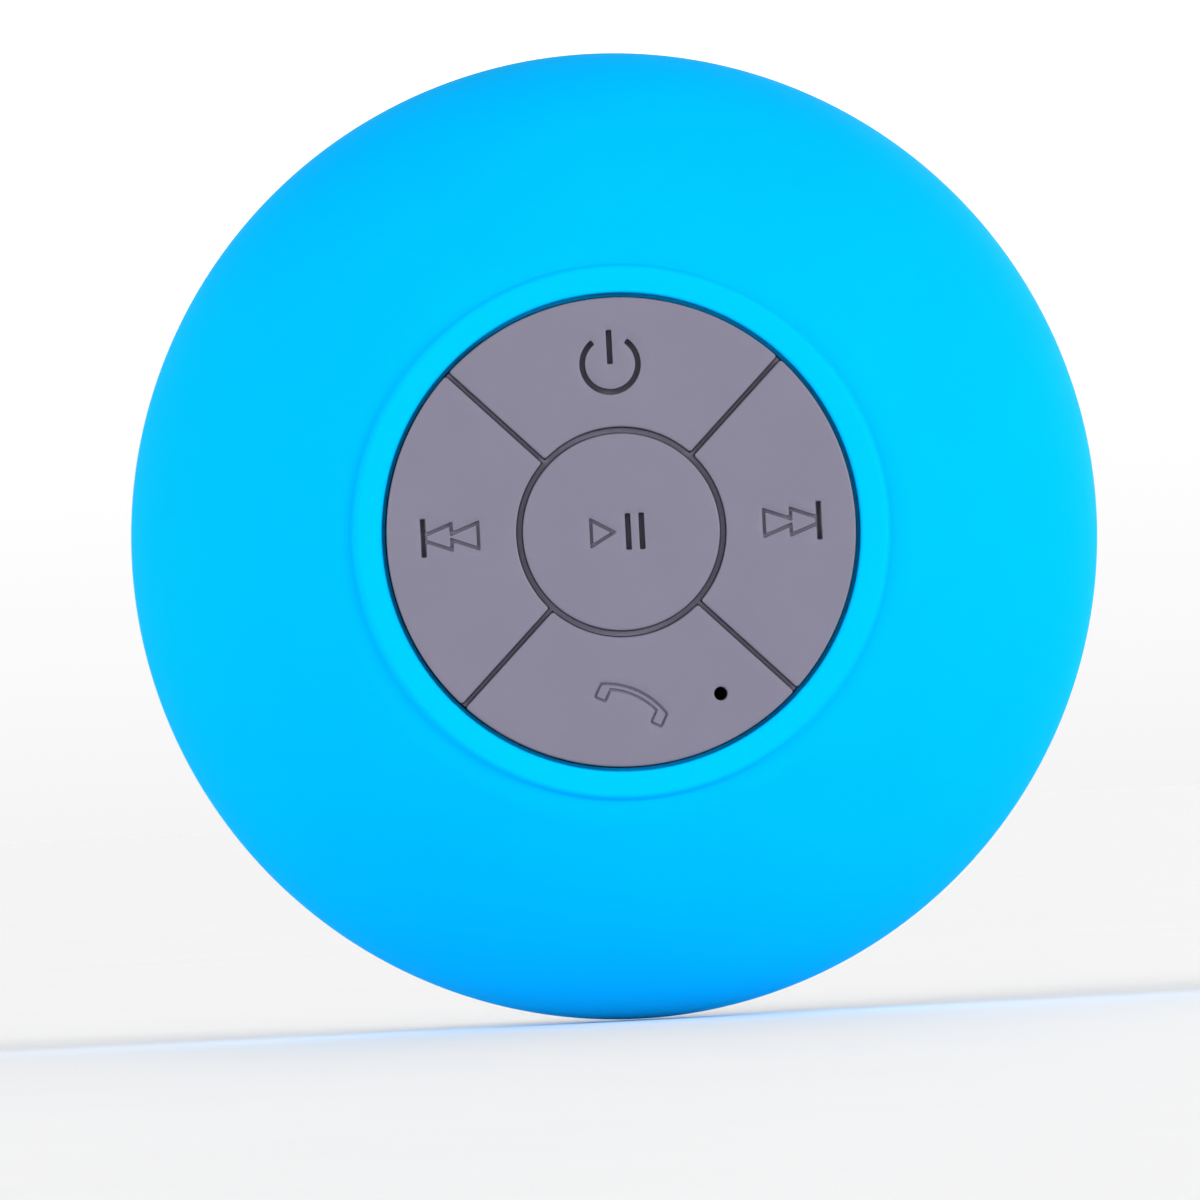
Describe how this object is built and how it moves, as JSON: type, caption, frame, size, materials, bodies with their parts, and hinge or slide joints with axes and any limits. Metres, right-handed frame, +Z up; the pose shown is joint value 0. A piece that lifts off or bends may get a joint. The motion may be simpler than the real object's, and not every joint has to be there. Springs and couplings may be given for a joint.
{
  "type": "shower speaker",
  "caption": "Round waterproof wireless speaker: silicone dome with a five-key pad, sound slots round its neck and a suction cup that holds it on a wall.",
  "frame": {"origin": "centre of the suction cup's rim, on the wall it is held to", "axes": "+Y points into the wall, the key pad faces -Y, +Z is up with the power key at the top"},
  "size_m": [0.086, 0.055, 0.086],
  "materials": {
    "sleeve_silicone": "soft-touch bright blue silicone, matte",
    "keypad_silicone": "moulded grey-mauve silicone, matte",
    "housing_abs": "moulded grey ABS, fine grain",
    "black_abs": "black moulded ABS",
    "switch_plastic": "black switch plastic",
    "circuit_board": "green solder mask on glass fibre",
    "chip_epoxy": "black moulding compound",
    "can_metal": "drawn metal can",
    "ceramic_chip": "tan ceramic",
    "led_lens": "clear-white lens",
    "black_rubber": "black rubber",
    "screw_steel": "zinc-plated steel",
    "battery_foil": "laminated foil pouch",
    "foam": "closed-cell foam",
    "white_nylon": "white nylon",
    "lead_red": "red and black insulation",
    "lead_yellow": "yellow insulation",
    "socket_steel": "nickel-plated shell",
    "cover_rubber": "soft grey rubber, matte",
    "mesh_black": "black woven acoustic mesh",
    "basket_steel": "pressed steel",
    "terminal_board": "brown fibre board",
    "plate_steel": "zinc-plated steel plate",
    "ferrite": "sintered ferrite",
    "spider_cloth": "resin-stiffened cloth",
    "cone_paper": "coated paper",
    "copper_wire": "enamelled copper winding",
    "cup_vinyl": "clear soft vinyl"
  },
  "bodies": {
    "cup": {"cup_lip": "cup_vinyl", "suction_cup": "cup_vinyl"},
    "speaker": {"silicone_sleeve": "sleeve_silicone", "front_housing": "housing_abs", "rear_housing": "housing_abs", "housing_seal": "black_rubber", "housing_screws": "screw_steel", "keypad_mat": "keypad_silicone", "switch_bodies": "switch_plastic", "main_board": "circuit_board", "bluetooth_chip": "chip_epoxy", "amplifier_chip": "chip_epoxy", "crystal": "can_metal", "capacitors": "can_metal", "small_parts": "ceramic_chip", "status_led": "led_lens", "microphone": "can_metal", "microphone_felt": "foam", "microphone_boot": "black_rubber", "inner_screws": "screw_steel", "battery": "battery_foil", "battery_pad": "foam", "battery_connector": "white_nylon", "battery_leads": "lead_red", "speaker_connector": "white_nylon", "speaker_leads": "lead_yellow", "charge_connector": "white_nylon", "charge_leads": "lead_red", "charge_board": "circuit_board", "usb_socket": "socket_steel", "charge_chip": "chip_epoxy", "cover_anchor": "cover_rubber", "driver_baffle": "black_abs", "grille_mesh": "mesh_black", "speaker_gasket": "foam", "speaker_basket": "basket_steel", "speaker_terminals": "terminal_board", "speaker_top_plate": "plate_steel", "speaker_magnet": "ferrite", "speaker_yoke": "plate_steel", "cone_surround": "black_rubber", "cone_spider": "spider_cloth", "cup_stud": "white_nylon", "cup_washer": "screw_steel", "cup_screw": "screw_steel"},
    "cone": {"speaker_cone": "cone_paper", "dust_cap": "cone_paper", "voice_coil": "copper_wire"},
    "port_cover": {"port_cover": "cover_rubber"},
    "power": {"power_key": "keypad_silicone", "power_switch_stem": "switch_plastic"},
    "previous": {"previous_key": "keypad_silicone", "previous_switch_stem": "switch_plastic"},
    "next": {"next_key": "keypad_silicone", "next_switch_stem": "switch_plastic"},
    "call": {"call_key": "keypad_silicone", "call_switch_stem": "switch_plastic"},
    "play_pause": {"play_pause_key": "keypad_silicone", "play_pause_switch_stem": "switch_plastic"}
  },
  "joints": [
    {"name": "cup_press", "type": "slide", "parent": "cup", "child": "speaker", "axis": [0, 1, 0], "range_m": [0, 0.004], "stiffness_N_per_m": 2500, "deforming": ["suction_cup"]},
    {"name": "cone_travel", "type": "slide", "parent": "speaker", "child": "cone", "axis": [0, 1, 0], "range_m": [-0.0008, 0.0008], "stiffness_N_per_m": 1500, "deforming": ["cone_surround", "cone_spider"]},
    {"name": "port_cover_hinge", "type": "hinge", "parent": "speaker", "child": "port_cover", "pos_m": [-0.0079, -0.01805, -0.02889], "axis": [0, 1, 0], "range_deg": [0, 110]},
    {"name": "power_press", "type": "slide", "parent": "speaker", "child": "power", "axis": [0, 1, 0], "range_m": [0, 0.0005], "stiffness_N_per_m": 3000},
    {"name": "previous_press", "type": "slide", "parent": "speaker", "child": "previous", "axis": [0, 1, 0], "range_m": [0, 0.0005], "stiffness_N_per_m": 3000},
    {"name": "next_press", "type": "slide", "parent": "speaker", "child": "next", "axis": [0, 1, 0], "range_m": [0, 0.0005], "stiffness_N_per_m": 3000},
    {"name": "call_press", "type": "slide", "parent": "speaker", "child": "call", "axis": [0, 1, 0], "range_m": [0, 0.0005], "stiffness_N_per_m": 3000},
    {"name": "play_pause_press", "type": "slide", "parent": "speaker", "child": "play_pause", "axis": [0, 1, 0], "range_m": [0, 0.0005], "stiffness_N_per_m": 3000}
  ]
}
